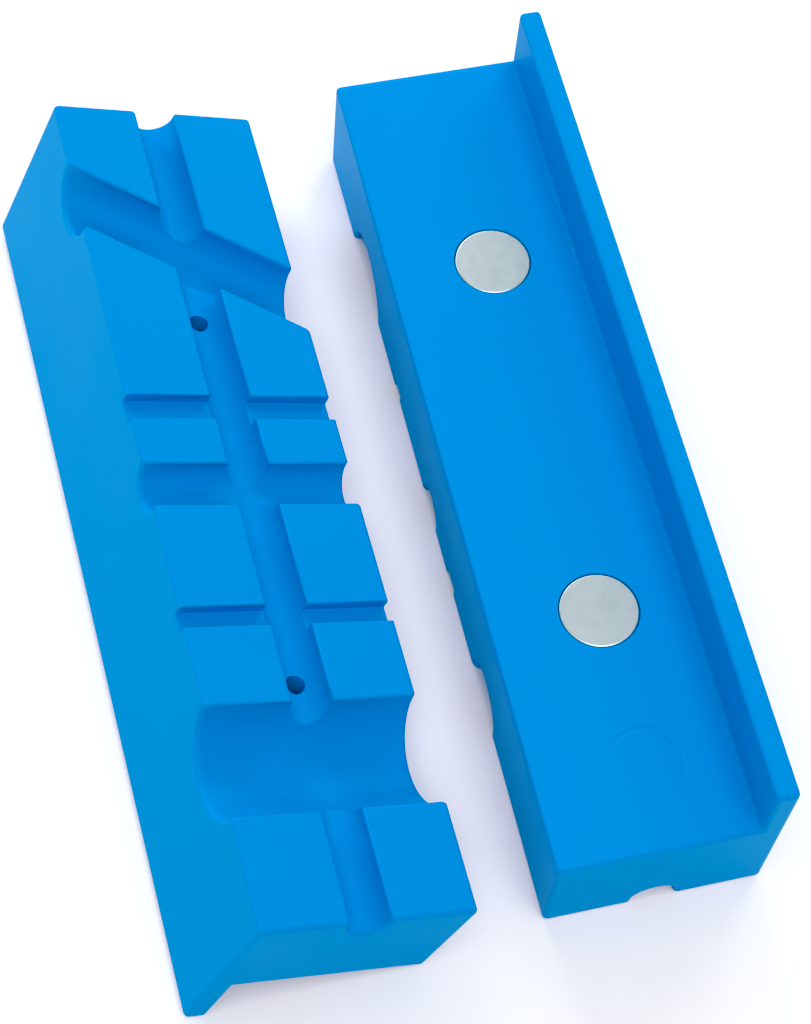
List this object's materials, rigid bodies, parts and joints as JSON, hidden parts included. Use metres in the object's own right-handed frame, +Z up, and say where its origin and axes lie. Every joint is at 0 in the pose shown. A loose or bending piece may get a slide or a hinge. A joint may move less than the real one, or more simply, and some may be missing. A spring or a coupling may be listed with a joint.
{
  "type": "magnetic vise jaw pads",
  "caption": "Mirror-handed pair of L-shaped soft jaw pads for a bench vise, grooved on the gripping face, with disc magnets flush in the flat back.",
  "frame": {"origin": "centre of the bottom of the box round both pads, on the bench they lie on", "axes": "+Y along the pads, from the left pad's pipe groove end to its slanting groove end; +X across the bench from the left pad to the right pad; +Z up. The left pad lies gripping face up on its lip tip and the edge of its back; the right pad lies on its gripping face with its back and lip up"},
  "size_m": [0.0906, 0.1422, 0.031],
  "materials": {
    "blue_polyurethane": "satin moulded surface",
    "nickel_plate": "satin nickel plating"
  },
  "bodies": {
    "left_pad": {"left_jaw_pad": "blue_polyurethane", "left_pad_magnet_pipe_end": "nickel_plate", "left_pad_magnet_slant_end": "nickel_plate"},
    "right_pad": {"right_jaw_pad": "blue_polyurethane", "right_pad_magnet_pipe_end": "nickel_plate", "right_pad_magnet_slant_end": "nickel_plate"}
  },
  "joints": [
    {"name": "right_pad_lift", "type": "slide", "parent": "left_pad", "child": "right_pad", "axis": [0, 0, 1], "range_m": [0, 0.08]}
  ]
}
